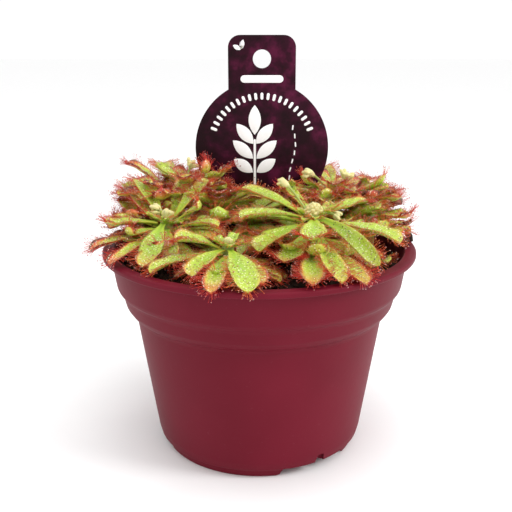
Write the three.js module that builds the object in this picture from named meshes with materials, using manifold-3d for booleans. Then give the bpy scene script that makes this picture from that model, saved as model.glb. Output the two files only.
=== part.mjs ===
// A 9 cm plastic nursery pot of sundews: pot, peat, a plant label, six rosettes of leaves with their
// crowns, and the young flower stalks. Millimetres, +Z up, origin at the centre of the foot ring's
// underside, the front of the pot towards -Y.

import * as THREE from "three";
import { mergeVertices } from "three/addons/utils/BufferGeometryUtils.js";
import Module from "manifold-3d";

const wasm = await Module();
wasm.setup();

// Pot.
const POT_HEIGHT = 60;
const WALL = 1.2;
const RIM_RADIUS = 45.5;
const RIM_LIP_DROP = 1.6;
const RIM_THICKNESS = 0.9;
const NECK_RADIUS = 43.2;
const UPPER_BAND_FOOT = [41.8, 49.8];
const FIRST_LINE = [40.6, 48.1];
const LOWER_BAND_FOOT = [39.4, 44];
const SECOND_LINE = [36.8, 41.2];
const BODY_FOOT = [30.8, 3.4];
const FLOOR_UNDERSIDE = 2.6;
const FOOT_RING = { outer: 29.2, inner: 27.2 };
const POT_SEGMENTS = 64;
const FOOT_GAPS = 3;
const FOOT_GAP_AZIMUTH = 304;
const FOOT_GAP_SPAN = 44;
const FOOT_GAP_HEIGHT = 2.3;
const DRAIN = { radius: 1.8, ring: 29.6, top: 5.2 };

// Peat.
const TOUCH = 0.3;
const PEAT_WALL_LEVEL = 55.6;
const PEAT_CROWN_LEVEL = 58.4;
const PEAT_FLOOR = FLOOR_UNDERSIDE + WALL + TOUCH;
const PEAT_SEGMENTS = 36;

// Plant label.
const LABEL_X = 0.8;
const LABEL_Y = 20;
const LABEL_THICKNESS = 0.5;
const LABEL_HEAD = { radius: 20.5, height: 85.1 };
const LABEL_TAB = { halfWidth: 10.15, corner: 3.6, top: 118.9 };
const LABEL_HOLE = { radius: 2.8, height: 112 };
const LABEL_STAKE = { halfWidth: 4.5, shoulder: 40, tip: 32 };

// Stems.
const STEM_RADIUS = 1.5;
const STEM_IN_PEAT = 3;

// Leaves.
const LEAF_SIDES = 6;
const LEAF_STATIONS = 10;
const PETIOLE_HALF_WIDTH = 0.95;
const LEAF_HALF_THICKNESS = 0.42;
const LEAF_CHANNEL = 0.12;
const WIDEST_AT = 0.7;
const ROUND_TIP_FROM = 0.8;
const TIER_DROP = 1.7;
const LEAF_SETBACK = 1.3;
const CLEARANCE = 0.3;

const BURGUNDY = 0x7a1f30;
const PEAT_BROWN = 0x2b1a12;
const LABEL_MAROON = 0x2a0717;
const STEM_GREEN = 0x8a9a3c;
const BUD_CREAM = 0xcfc78a;
const LEAF_GREEN = 0x9db93a;

// Each leaf is [azimuth, length, rise at its base, rise at its tip, width, sideways bend, roll]: degrees
// and millimetres, azimuth from +X towards +Y. Each tier of a rosette starts below the one before it.
const ROSETTES = {
  left: {
    crown: [-26.5, -5.5, 69],
    head: 2.2,
    tiers: [
      [
        [122, 19, 42, 16, 5.6],
        [48, 17.5, 45, 23, 5.4],
        [356, 11, 42, 8, 5],
        [196, 15.5, 11, -18, 5.6],
        [260, 17.5, -8, -48, 6.4],
      ],
      [
        [72, 20, 48, 26, 6],
        [334, 14.5, 24, -5, 5.2],
        [166, 14, 22, -8, 5.2],
        [222, 13, 8, -18, 5.2],
        [280, 14, -12, -42, 5.2],
      ],
      [
        [138, 20, 44, 20, 5.4],
        [207, 20, 10, -20, 5.4],
        [236, 21, 2, -22, 4.4],
      ],
    ],
  },
  right: {
    crown: [15.3, -8.5, 71.3],
    head: 2.6,
    tiers: [
      [
        [150, 22, 26, 0, 6.6],
        [198, 18.5, 17, -12, 7.2],
        [266, 17.5, 2, -32, 7.2],
        [304, 26, 0, -32, 4.2, 0, 60],
        [24, 14.5, 22, -1, 6],
        [113, 18.5, 28, 4, 3.4],
      ],
      [
        [223, 19, 2, -28, 7.2],
        [324, 24, 10, -18, 6.8],
        [54, 9.5, 34, 8, 4.6],
        [176, 20, 14, -14, 6.4],
      ],
      [
        [246, 20.7, -12, -24, 7.2],
        [279, 29.5, -14, -8, 5.8],
        [208, 21, 4, -25, 7],
      ],
      [
        [269, 31.5, -16, 2, 6.4],
        [290, 30, -10, -4, 5.8],
      ],
    ],
  },
  front: {
    crown: [-8.3, -22.6, 66],
    head: 1.5,
    tiers: [
      [
        [190, 12.5, 28, -1, 8],
        [236, 14.5, 2, -30, 6.4],
        [284, 22.5, 4, -26, 7],
      ],
      [
        [214, 20, 10, -24, 6],
        [262, 21.5, 4, -20, 5.6],
        [304, 15, 0, -28, 5],
      ],
    ],
  },
  right_side: {
    crown: [33, 6, 68],
    head: 1.5,
    tiers: [
      [
        [42, 11.5, 44, 20, 5.6],
        [316, 14, 16, -7, 5.6],
      ],
    ],
  },
  back_left: {
    crown: [-26, 18, 72.5],
    head: 1.8,
    tiers: [
      [
        [175, 16, 48, 22, 5.8],
        [108, 20, 30, 4, 6],
        [330, 17, 48, 24, 6],
        [68, 22, 20, -10, 6],
      ],
      [[140, 21, 16, -24, 5.8]],
    ],
  },
  back_right: {
    crown: [24, 17, 72],
    head: 1.8,
    tiers: [
      [
        [190, 12, 40, 16, 6],
        [262, 9, 50, 24, 5.4],
        [98, 21, 28, 0, 6],
        [52, 22, 20, -14, 6],
      ],
    ],
  },
};

// Young flower stalks: [rosette, azimuth, reach, height of the bud above the crown, stalk and bud radius].
const FLOWER_STALKS = [
  ["left", 146, 4.4, 2.2, 0.6, 1.5],
  ["right", 352, 7.4, -0.8, 0.45, 1.2],
  ["right", 128, 15.5, 7, 0.4, 1.1],
  ["back_left", 20, 6, 8.4, 0.5, 1.4],
  ["back_right", 212, 12.5, 7.6, 0.45, 1.2],
  ["back_right", 330, 3.6, 6.2, 0.5, 1.5],
];

const rad = THREE.MathUtils.degToRad;
const lerp = THREE.MathUtils.lerp;
const smoothstep = THREE.MathUtils.smoothstep;

function heading(azimuth, rise) {
  const level = Math.cos(rad(rise));
  return new THREE.Vector3(
    level * Math.cos(rad(azimuth)),
    level * Math.sin(rad(azimuth)),
    Math.sin(rad(rise)),
  );
}

function clean(geometry) {
  const bare = geometry.clone();
  bare.deleteAttribute("normal");
  bare.deleteAttribute("uv");
  return mergeVertices(bare, 1e-4);
}

function solid(geometry) {
  const merged = clean(geometry);
  return new wasm.Manifold(
    new wasm.Mesh({
      numProp: 3,
      vertProperties: new Float32Array(merged.attributes.position.array),
      triVerts: new Uint32Array(merged.index.array),
    }),
  );
}

function geometryOf(body) {
  const cut = body.getMesh();
  const geometry = new THREE.BufferGeometry();
  geometry.setAttribute("position", new THREE.BufferAttribute(new Float32Array(cut.vertProperties), 3));
  geometry.setIndex(new THREE.BufferAttribute(new Uint32Array(cut.triVerts), 1));
  return geometry;
}

// A LatheGeometry turns about Y, so its axis is stood up along Z.
function lathe(profile, segments) {
  const points = profile.map(([radius, height]) => new THREE.Vector2(radius, height));
  return new THREE.LatheGeometry(points, segments).rotateX(Math.PI / 2);
}

function potGeometry() {
  const rimTop = POT_HEIGHT;
  const lip = rimTop - RIM_LIP_DROP;
  const inward = ([radius, height]) => [radius - WALL, height];
  const wall = [
    BODY_FOOT,
    [SECOND_LINE[0] - 0.1, SECOND_LINE[1] - 0.8],
    SECOND_LINE,
    [LOWER_BAND_FOOT[0] - 0.9, LOWER_BAND_FOOT[1] - 1.3],
    LOWER_BAND_FOOT,
    [FIRST_LINE[0] - 0.4, FIRST_LINE[1] - 0.9],
    FIRST_LINE,
    UPPER_BAND_FOOT,
    [NECK_RADIUS, rimTop - RIM_THICKNESS],
  ];
  const outside = [
    [0, FLOOR_UNDERSIDE],
    [FOOT_RING.inner, FLOOR_UNDERSIDE],
    [FOOT_RING.inner, 0],
    [FOOT_RING.outer - 0.5, 0],
    [FOOT_RING.outer, 0.6],
    [FOOT_RING.outer + 0.2, FLOOR_UNDERSIDE - 0.2],
    [BODY_FOOT[0] - 0.5, FLOOR_UNDERSIDE],
    ...wall,
  ];
  const rim = [
    [RIM_RADIUS - 1, rimTop - RIM_THICKNESS],
    [RIM_RADIUS - 0.9, lip],
    [RIM_RADIUS - 0.1, lip],
    [RIM_RADIUS, lip + 0.4],
    [RIM_RADIUS, rimTop - 0.5],
    [RIM_RADIUS - 0.4, rimTop],
    [NECK_RADIUS - WALL + 0.3, rimTop],
    [NECK_RADIUS - WALL, rimTop - 0.4],
  ];
  const inside = wall.slice(1, -1).reverse().map(inward);
  const floor = [
    [BODY_FOOT[0] - WALL, FLOOR_UNDERSIDE + WALL + 0.8],
    [BODY_FOOT[0] - WALL - 0.8, FLOOR_UNDERSIDE + WALL],
    [0, FLOOR_UNDERSIDE + WALL],
  ];
  let body = solid(lathe([...outside, ...rim, ...inside, ...floor], POT_SEGMENTS));
  for (let i = 0; i < FOOT_GAPS; i += 1) {
    const azimuth = FOOT_GAP_AZIMUTH + (360 / FOOT_GAPS) * i;
    body = body.subtract(footGap(azimuth)).subtract(drain(azimuth));
  }
  return geometryOf(body);
}

// A sector of a ring: the space between two feet.
function footGap(azimuth) {
  const start = rad(azimuth - FOOT_GAP_SPAN / 2);
  const end = rad(azimuth + FOOT_GAP_SPAN / 2);
  const sector = new THREE.Shape();
  sector.absarc(0, 0, FOOT_RING.outer + 1, start, end, false);
  sector.absarc(0, 0, FOOT_RING.inner - 1, end, start, true);
  const cutter = new THREE.ExtrudeGeometry(sector, {
    depth: FOOT_GAP_HEIGHT + 1,
    bevelEnabled: false,
    curveSegments: 8,
  });
  return solid(cutter.translate(0, 0, -1));
}

function drain(azimuth) {
  const out = heading(azimuth, 0).multiplyScalar(DRAIN.ring);
  const cutter = new THREE.CylinderGeometry(DRAIN.radius, DRAIN.radius, DRAIN.top, 12).rotateX(Math.PI / 2);
  return solid(cutter.translate(out.x, out.y, DRAIN.top / 2));
}

// The radius of the pot's inside at a height, for the peat that fills it.
function insideRadius(height) {
  const slope = [BODY_FOOT, SECOND_LINE, FIRST_LINE, [NECK_RADIUS, POT_HEIGHT]];
  for (let i = 1; i < slope.length; i += 1) {
    const [lowRadius, low] = slope[i - 1];
    const [highRadius, high] = slope[i];
    if (height <= high) {
      return lerp(lowRadius, highRadius, (height - low) / (high - low)) - WALL;
    }
  }
  return NECK_RADIUS - WALL;
}

function peatLevel(radius) {
  const fall = smoothstep(radius, 12, insideRadius(PEAT_WALL_LEVEL));
  return lerp(PEAT_CROWN_LEVEL, PEAT_WALL_LEVEL, fall);
}

function peatGeometry() {
  const levels = [PEAT_FLOOR + 1.4, 20, 40, 46, 50, PEAT_WALL_LEVEL];
  const side = levels.map((height) => [insideRadius(height) - 0.9, height]);
  const top = [34, 26, 18, 10].map((radius) => [radius, peatLevel(radius)]);
  const profile = [[0, PEAT_FLOOR], [side[0][0] - 1.4, PEAT_FLOOR], ...side, ...top, [0, PEAT_CROWN_LEVEL]];
  let body = solid(lathe(profile, PEAT_SEGMENTS));
  for (const { crown } of Object.values(ROSETTES)) {
    const pit = new THREE.CylinderGeometry(STEM_RADIUS + TOUCH, STEM_RADIUS + TOUCH, 20, 12);
    pit.rotateX(Math.PI / 2).translate(crown[0], crown[1], stemFoot(crown) - TOUCH + 10);
    body = body.subtract(solid(pit));
  }
  const slot = new THREE.BoxGeometry(
    2 * (LABEL_STAKE.halfWidth + TOUCH),
    LABEL_THICKNESS + 2 * TOUCH,
    POT_HEIGHT,
  );
  slot.translate(LABEL_X, LABEL_Y, LABEL_STAKE.tip - 2 * TOUCH + POT_HEIGHT / 2);
  return geometryOf(body.subtract(solid(slot)));
}

// A card on a stake: a round head with a square tab over it, and a hole to hang it by.
function labelGeometry() {
  const { radius, height } = LABEL_HEAD;
  const tab = LABEL_TAB;
  const stake = LABEL_STAKE;
  const tabAngle = Math.acos(tab.halfWidth / radius);
  const stakeAngle = Math.acos(stake.halfWidth / radius);
  const card = new THREE.Shape();
  card.moveTo(0, stake.tip);
  card.lineTo(stake.halfWidth, stake.shoulder);
  card.absarc(0, height, radius, -stakeAngle, tabAngle, false);
  card.absarc(tab.halfWidth - tab.corner, tab.top - tab.corner, tab.corner, 0, Math.PI / 2, false);
  card.absarc(tab.corner - tab.halfWidth, tab.top - tab.corner, tab.corner, Math.PI / 2, Math.PI, false);
  card.absarc(0, height, radius, Math.PI - tabAngle, Math.PI + stakeAngle, false);
  card.lineTo(-stake.halfWidth, stake.shoulder);
  const hole = new THREE.Path();
  hole.absarc(0, LABEL_HOLE.height, LABEL_HOLE.radius, 0, 2 * Math.PI, true);
  card.holes.push(hole);
  const sheet = new THREE.ExtrudeGeometry(card, {
    depth: LABEL_THICKNESS,
    bevelEnabled: false,
    curveSegments: 20,
  });
  return sheet.rotateX(Math.PI / 2).translate(LABEL_X, LABEL_Y + LABEL_THICKNESS / 2, 0);
}

function stemFoot(crown) {
  return peatLevel(Math.hypot(crown[0], crown[1])) - STEM_IN_PEAT;
}

// The short stem of a rosette with the knot of unopened leaves on it.
function crownGeometry({ crown, head }) {
  const [x, y, top] = crown;
  const profile = [
    [0, stemFoot(crown)],
    [STEM_RADIUS, stemFoot(crown)],
    [STEM_RADIUS, top - 3.4],
    [0.75 * head, top - 2.2],
    [head, top],
    [0.8 * head, top + 0.7 * head],
    [0, top + head],
  ];
  return lathe(profile, 12).translate(x, y, 0);
}

// A sphere whose rings are laid along a path, with its poles at the ends of the path.
function sweep(path, sectionAt, sides, stations) {
  const geometry = clean(new THREE.SphereGeometry(1, sides, stations));
  const position = geometry.attributes.position;
  const point = new THREE.Vector3();
  for (let i = 0; i < position.count; i += 1) {
    point.fromBufferAttribute(position, i);
    const along = Math.acos(THREE.MathUtils.clamp(point.y, -1, 1)) / Math.PI;
    const around = Math.hypot(point.x, point.z);
    const across = around > 1e-6 ? [point.x / around, point.z / around] : [0, 0];
    const { centre, side, up } = path(along);
    const [sideways, upwards] = sectionAt(along, across);
    point.copy(centre).addScaledVector(side, sideways).addScaledVector(up, upwards);
    position.setXYZ(i, point.x, point.y, point.z);
  }
  return geometry;
}

// The midrib: its rise and azimuth change evenly from the base to the tip.
function leafPath(leaf) {
  const steps = 40;
  const centres = [leaf.base.clone()];
  const azimuthAt = (t) => leaf.azimuth + leaf.bend * t;
  const riseAt = (t) => lerp(leaf.riseBase, leaf.riseTip, t);
  for (let i = 0; i < steps; i += 1) {
    const t = (i + 0.5) / steps;
    const step = heading(azimuthAt(t), riseAt(t)).multiplyScalar(leaf.length / steps);
    centres.push(centres[i].clone().add(step));
  }
  return (t) => {
    const at = Math.min(t * steps, steps - 1e-6);
    const i = Math.floor(at);
    const tangent = heading(azimuthAt(t), riseAt(t));
    const side = heading(azimuthAt(t) + 90, 0).applyAxisAngle(tangent, rad(leaf.roll));
    return {
      centre: centres[i].clone().lerp(centres[i + 1], at - i),
      side,
      up: new THREE.Vector3().crossVectors(tangent, side),
    };
  };
}

function leafHalfWidth(t, width) {
  const widening = lerp(PETIOLE_HALF_WIDTH, width / 2, smoothstep(t, 0, WIDEST_AT));
  const tip = Math.max(0, (t - ROUND_TIP_FROM) / (1 - ROUND_TIP_FROM));
  return widening * Math.sqrt(1 - 0.75 * tip * tip);
}

function leafGeometry(leaf, margin = 0) {
  const section = (t, [cos, sin]) => {
    const halfWidth = leafHalfWidth(t, leaf.width) + margin;
    const lift = LEAF_CHANNEL * halfWidth * cos * cos;
    return [halfWidth * cos, (LEAF_HALF_THICKNESS + margin) * sin + lift];
  };
  return sweep(leafPath(leaf), section, LEAF_SIDES, LEAF_STATIONS);
}

// A stalk that leaves a rosette's crown, leans out and ends in a bud.
function stalkGeometry([rosette, azimuth, reach, height, stalkRadius, budRadius]) {
  const { crown, head } = ROSETTES[rosette];
  const start = new THREE.Vector3(...crown).addScaledVector(heading(azimuth, 0), head + stalkRadius + TOUCH);
  const end = new THREE.Vector3(...crown).addScaledVector(heading(azimuth, 0), reach);
  end.z += height;
  const bow = start.clone().lerp(end, 0.5);
  bow.z += 0.25 * height + 0.6;
  const curve = new THREE.QuadraticBezierCurve3(start, bow, end);
  const side = heading(azimuth + 90, 0);
  const path = (t) => {
    const tangent = curve.getTangent(t);
    return { centre: curve.getPoint(t), side, up: new THREE.Vector3().crossVectors(tangent, side) };
  };
  const section = (t, [cos, sin]) => {
    const radius = lerp(stalkRadius, budRadius, smoothstep(t, 0.6, 0.85));
    return [radius * cos, radius * sin];
  };
  return sweep(path, section, 6, 8);
}

function leafSpec({ crown, head }, tier, [azimuth, length, riseBase, riseTip, width, bend = 0, roll = 0]) {
  return { crown, head, tier, azimuth, length, riseBase, riseTip, width, bend, roll };
}

// The leaf turned and lifted a little, standing on its crown again.
function posed(spec, turn, lift) {
  const azimuth = spec.azimuth + turn;
  const base = new THREE.Vector3(...spec.crown);
  base.addScaledVector(heading(azimuth, 0), spec.head + TOUCH + 0.2);
  base.z -= LEAF_SETBACK + TIER_DROP * spec.tier;
  return { ...spec, base, azimuth, riseBase: spec.riseBase + lift, riseTip: spec.riseTip + lift };
}

function nudges() {
  const tries = [];
  for (let lift = -24; lift <= 24; lift += 2) {
    for (let turn = -12; turn <= 12; turn += 3) {
      tries.push([turn, lift]);
    }
  }
  const effort = ([turn, lift]) => Math.abs(lift) + 1.2 * Math.abs(turn);
  return tries.sort((a, b) => effort(a) - effort(b));
}

const NUDGES = nudges();

// Leaves grow past one another, so each new leaf moves the least that keeps it clear of what is there.
function settle(spec, name, placed) {
  for (const [turn, lift] of NUDGES) {
    const leaf = posed(spec, turn, lift);
    const swollen = solid(leafGeometry(leaf, CLEARANCE));
    if (placed.every((body) => body.intersect(swollen).isEmpty())) {
      return leafGeometry(leaf);
    }
  }
  throw new Error(`no room for ${name}`);
}

const pottedSundew = new THREE.Group();
const placed = [];

function addPiece(name, geometry, color, roughness) {
  const material = new THREE.MeshStandardMaterial({ color, roughness, metalness: 0 });
  const mesh = new THREE.Mesh(geometry, material);
  mesh.name = name;
  pottedSundew.add(mesh);
  placed.push(solid(geometry));
}

addPiece("pot", potGeometry(), BURGUNDY, 0.45);
addPiece("peat_soil", peatGeometry(), PEAT_BROWN, 0.95);
addPiece("plant_label", labelGeometry(), LABEL_MAROON, 0.4);
for (const [name, rosette] of Object.entries(ROSETTES)) {
  addPiece(`crown_${name}`, crownGeometry(rosette), STEM_GREEN, 0.6);
}
FLOWER_STALKS.forEach((stalk, i) => {
  addPiece(`flower_stalk_${i + 1}`, stalkGeometry(stalk), BUD_CREAM, 0.6);
});
for (const [name, rosette] of Object.entries(ROSETTES)) {
  let count = 0;
  rosette.tiers.forEach((rows, tier) => {
    for (const row of rows) {
      count += 1;
      const leafName = `leaf_${name}_${count}`;
      addPiece(leafName, settle(leafSpec(rosette, tier, row), leafName, placed), LEAF_GREEN, 0.55);
    }
  });
}

export default pottedSundew;
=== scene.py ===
import math
import random

import bmesh
import bpy
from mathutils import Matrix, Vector, noise


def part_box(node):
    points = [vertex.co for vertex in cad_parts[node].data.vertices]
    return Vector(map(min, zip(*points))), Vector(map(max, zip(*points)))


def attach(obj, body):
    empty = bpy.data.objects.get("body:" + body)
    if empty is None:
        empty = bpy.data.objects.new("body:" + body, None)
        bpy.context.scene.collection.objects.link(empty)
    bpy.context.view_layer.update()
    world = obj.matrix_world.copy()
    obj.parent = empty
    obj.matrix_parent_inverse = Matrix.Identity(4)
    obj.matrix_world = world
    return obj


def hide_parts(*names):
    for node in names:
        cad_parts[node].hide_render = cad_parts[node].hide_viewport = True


bl_info = {
    "name": "Potted sundew",
    "version": (1, 0, 0),
    "blender": (4, 5, 0),
    "location": "View3D > Sidebar > Sundew",
    "description": "Rosettes of sticky sundew leaves in a small plastic nursery pot",
    "category": "Object",
}

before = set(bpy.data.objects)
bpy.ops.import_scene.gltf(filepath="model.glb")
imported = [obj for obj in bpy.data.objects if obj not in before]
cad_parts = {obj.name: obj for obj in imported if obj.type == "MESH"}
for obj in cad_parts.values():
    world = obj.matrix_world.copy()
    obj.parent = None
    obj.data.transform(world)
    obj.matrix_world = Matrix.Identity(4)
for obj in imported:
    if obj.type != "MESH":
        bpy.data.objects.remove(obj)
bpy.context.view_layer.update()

MM = 0.001
BODY = "root"
UP = Vector((0, 0, 1))
GOLDEN_ANGLE = 137.5

# The pot's rim, the creases under its two bands, its feet and its drain holes, in millimetres.
RIM = 45.5
RIM_TOP = 60.0
NECK = 43.2
LIP = 58.4
FIRST_LINE = 48.1
SECOND_LINE = 41.2
FOOT_GAP = {"azimuth": 304.0, "span": 44.0, "height": 2.3, "count": 3}
DRAIN = {"radius": 1.8, "ring": 29.6, "top": 5.2}

# The peat's radius at its top, and its level at the middle and at the wall.
PEAT_EDGE = 40.4
PEAT_MIDDLE = 58.2
PEAT_SIDE = 55.8

# The label: the middle of its round head, then its tab, hole and stake.
LABEL_MIDDLE = Vector((0.8, 20.0, 85.1))
HEAD_RADIUS = 20.5
TAB_HALF = 10.15
TAB_TOP = 118.9
TAB_CORNER = 3.6
HOLE = {"radius": 2.8, "height": 112.0}
STAKE = {"half": 4.5, "shoulder": 40.0, "tip": 32.0}

ROSETTES = ("left", "right", "front", "right_side", "back_left", "back_right")
NODES = sorted(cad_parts)


# ---------------------------------------------------------------- shaders


class Value:
    """A number that varies over a surface: Python sums on it add Math nodes."""

    def __init__(self, paint, socket):
        self.paint = paint
        self.socket = socket

    def calc(self, operation, *terms):
        return self.paint.node("ShaderNodeMath", {"operation": operation}, terms)

    def __add__(self, other):
        return self.calc("ADD", self, other)

    def __sub__(self, other):
        return self.calc("SUBTRACT", self, other)

    def __mul__(self, other):
        return self.calc("MULTIPLY", self, other)

    def __truediv__(self, other):
        return self.calc("DIVIDE", self, other)

    def __pow__(self, other):
        return self.calc("POWER", self, other)

    def __radd__(self, other):
        return self.calc("ADD", other, self)

    def __rsub__(self, other):
        return self.calc("SUBTRACT", other, self)

    def __rmul__(self, other):
        return self.calc("MULTIPLY", other, self)

    def __abs__(self):
        return self.calc("ABSOLUTE", self)

    def step(self, start, end):
        """0 below start, 1 above end, smooth between."""
        settings = {"interpolation_type": "SMOOTHSTEP"}
        return self.paint.node("ShaderNodeMapRange", settings, (self, start, end, 0.0, 1.0))


class Paint:
    """One material: a Principled shader and what feeds it."""

    def __init__(self, name, **constants):
        self.material = bpy.data.materials.new(name)
        self.material.use_nodes = True
        self.tree = self.material.node_tree
        self.tree.nodes.clear()
        self.shader = self.tree.nodes.new("ShaderNodeBsdfPrincipled")
        output = self.tree.nodes.new("ShaderNodeOutputMaterial")
        self.tree.links.new(self.shader.outputs[0], output.inputs[0])
        for label, value in constants.items():
            self.shader.inputs[label.replace("_", " ")].default_value = value

    def plug(self, socket, item):
        if isinstance(item, Value):
            self.tree.links.new(item.socket, socket)
        elif item is not None:
            socket.default_value = item

    def node(self, kind, settings=None, inputs=(), output=0):
        made = self.tree.nodes.new(kind)
        for key, value in (settings or {}).items():
            setattr(made, key, value)
        if isinstance(inputs, dict):
            pairs = [(made.inputs[key], item) for key, item in inputs.items()]
        else:
            pairs = zip(made.inputs, inputs)
        for socket, item in pairs:
            self.plug(socket, item)
        return Value(self, made.outputs[output])

    def place(self):
        return self.node("ShaderNodeTexCoord", output="Object")

    def attribute(self, name):
        return self.node("ShaderNodeAttribute", {"attribute_name": name}, output="Fac")

    def noise(self, scale, detail=3.0, roughness=0.5):
        inputs = {"Vector": self.place(), "Scale": scale, "Detail": detail, "Roughness": roughness}
        return self.node("ShaderNodeTexNoise", None, inputs)

    def cells(self, scale, output="Distance"):
        return self.node("ShaderNodeTexVoronoi", None, {"Vector": self.place(), "Scale": scale}, output)

    def mix(self, factor, first, second):
        settings = {"data_type": "RGBA"}
        return self.node("ShaderNodeMix", settings, {0: factor, 6: first, 7: second}, output=2)

    def ramp(self, factor, stops):
        made = self.node("ShaderNodeValToRGB", None, (factor,))
        ramp = made.socket.node.color_ramp
        while len(ramp.elements) < len(stops):
            ramp.elements.new(0.5)
        for element, (position, colour) in zip(ramp.elements, stops):
            element.position = position
            element.color = colour
        return made

    def bump(self, height, strength, distance):
        inputs = {"Strength": strength, "Distance": distance, "Height": height}
        self.plug(self.shader.inputs["Normal"], self.node("ShaderNodeBump", None, inputs))

    def feed(self, label, item):
        self.plug(self.shader.inputs[label], item)


def tint(red, green, blue):
    return (red, green, blue, 1.0)


def pot_plastic(look):
    """Cloudy satin plastic with a film of dust."""
    paint = Paint("pot_plastic", Specular_IOR_Level=0.12)
    cloud = paint.noise(26.0, 3.0)
    colour = paint.mix(cloud.step(0.3, 0.75), tuple(look.colour), tuple(look.worn_colour))
    dust = paint.noise(900.0, 4.0, 0.7).step(0.62, 0.8) * 0.15
    paint.feed("Base Color", paint.mix(dust, colour, tint(0.42, 0.16, 0.19)))
    paint.feed("Roughness", 0.42 + cloud * 0.16 + dust * 0.5)
    paint.bump(paint.noise(420.0, 4.0, 0.6), 0.12, 0.0003)
    return paint.material


def peat_fibre(look):
    paint = Paint("peat_fibre", Roughness=0.95, Specular_IOR_Level=0.25)
    grain = paint.noise(700.0, 6.0, 0.7)
    paint.feed("Base Color", paint.ramp(grain, [
        (0.3, tint(0.008, 0.004, 0.003)),
        (0.55, tuple(look.colour)),
        (0.72, tint(0.09, 0.045, 0.02)),
    ]))
    paint.bump(grain, 0.8, 0.0008)
    return paint.material


def perlite_grain():
    paint = Paint("perlite_grain", Roughness=0.9)
    grain = paint.noise(900.0, 4.0)
    paint.feed("Base Color", paint.mix(grain, tint(0.45, 0.4, 0.34), tint(0.8, 0.78, 0.72)))
    paint.bump(grain, 0.5, 0.0003)
    return paint.material


def card_face(look):
    paint = Paint("card_face", Specular_IOR_Level=0.12)
    cloud = paint.noise(170.0, 3.0, 0.6)
    patch = paint.ramp(cloud, [
        (0.38, tuple(look.colour)),
        (0.54, tint(0.03, 0.0015, 0.011)),
        (0.7, tint(0.085, 0.006, 0.032)),
    ])
    paint.feed("Base Color", patch)
    paint.feed("Roughness", 0.5 + cloud * 0.15)
    paint.bump(paint.noise(1500.0, 2.0), 0.05, 0.0001)
    return paint.material


def card_print(look):
    paint = Paint("card_print", Roughness=0.45)
    fleck = paint.noise(1100.0, 3.0)
    paint.feed("Base Color", paint.mix(fleck, tuple(look.print_colour), tint(0.88, 0.86, 0.88)))
    return paint.material


def leaf_skin(look):
    """Green at the midrib, flushed to orange and red towards the margin and the tip, with pale dots painted
    on as dew glints.
    """
    paint = Paint(
        "leaf_skin",
        Subsurface_Weight=0.08,
        Subsurface_Radius=(0.6, 0.5, 0.15),
        Subsurface_Scale=0.0012,
        Coat_Roughness=0.2,
    )
    across = paint.attribute("across")
    along = paint.attribute("along")
    age = paint.attribute("age")
    blotch = paint.noise(420.0, 4.0, 0.6)
    rim = abs(across).step(0.55, 1.0)
    end = along.step(0.62, 1.0)
    worn = rim * (0.12 + age * 0.5) + end * (age * 0.75 - 0.03)
    flush = age * 0.5 + worn + (blotch - 0.5) * 0.34
    colour = paint.ramp(flush, [
        (0.02, tuple(look.young)),
        (0.3, tuple(look.blade)),
        (0.48, tuple(look.yellow)),
        (0.64, tuple(look.orange)),
        (0.82, tuple(look.red)),
        (1.0, tuple(look.dark)),
    ])
    glands = along.step(0.2, 0.45)
    pores = paint.cells(1150.0)
    speckled = paint.mix((1.0 - pores.step(0.16, 0.42)) * glands * 0.6, colour, tint(0.2, 0.07, 0.01))
    rib = (1.0 - abs(across).step(0.1, 0.6)) * (1.0 - along.step(0.45, 0.9))
    ribbed = paint.mix(rib * (1.0 - age) * 0.55, speckled, tint(0.2, 0.42, 0.02))
    # Painted highlight: pale dots painted into the leaf colour where dew drops would glint. They are not a
    # colour of the leaf.
    painted_dew_glints = 1.0 - paint.cells(1400.0).step(0.16, 0.36)
    with_painted_glints = paint.mix(painted_dew_glints * glands * 0.65, ribbed, tint(0.92, 0.9, 0.62))
    grit = (1.0 - paint.cells(800.0).step(0.14, 0.24)) * paint.cells(800.0, output="Color").step(0.55, 0.6)
    paint.feed("Base Color", paint.mix(grit * 0.85, with_painted_glints, tint(0.03, 0.018, 0.008)))
    paint.feed("Roughness", 0.42 + blotch * 0.2)
    paint.feed("Coat Weight", along.step(0.2, 0.5) * 0.35)
    paint.bump(blotch * 0.6 + pores * 0.6, 0.5, 0.0003)
    return paint.material


def hair_skin(look):
    """Pale where the hair leaves the leaf, red at the gland, with more red on a flushed leaf."""
    paint = Paint("hair_skin", Roughness=0.35)
    flush = paint.attribute("flush")
    paint.feed("Base Color", paint.ramp(flush, [
        (0.05, tint(0.6, 0.58, 0.22)),
        (0.35, tuple(look.pale)),
        (0.6, tuple(look.orange)),
        (0.85, tuple(look.red)),
    ]))
    return paint.material


def dew_drop():
    paint = Paint(
        "dew_drop",
        Base_Color=tint(0.98, 0.98, 0.96),
        Roughness=0.03,
        IOR=1.34,
        Transmission_Weight=0.95,
        Specular_IOR_Level=0.8,
    )
    return paint.material


def bud_skin(look):
    paint = Paint("bud_skin", Roughness=0.6, Subsurface_Weight=0.2, Subsurface_Scale=0.001)
    down = paint.noise(1300.0, 5.0, 0.7)
    base = paint.attribute("along")
    warm = paint.mix(base.step(0.3, 0.55), tuple(look.stalk), tuple(look.bud))
    paint.feed("Base Color", paint.mix(down.step(0.52, 0.8) * 0.5, warm, tint(0.82, 0.78, 0.6)))
    paint.bump(down, 0.5, 0.0003)
    return paint.material


def floor_paper(look):
    paint = Paint("floor_paper", Roughness=0.85, Specular_IOR_Level=0.1)
    grain = paint.noise(60.0, 2.0)
    paint.feed("Base Color", paint.mix(grain, tuple(look.colour), tint(0.93, 0.93, 0.93)))
    return paint.material


# ---------------------------------------------------------------- settings


def colour_setting(name, description, default):
    return bpy.props.FloatVectorProperty(
        name=name, description=description, default=default, size=4, min=0, max=1, subtype="COLOR"
    )


def length_setting(name, description, default):
    return bpy.props.FloatProperty(
        name=name, description=description, default=default, min=0, unit="LENGTH", precision=5
    )


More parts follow.
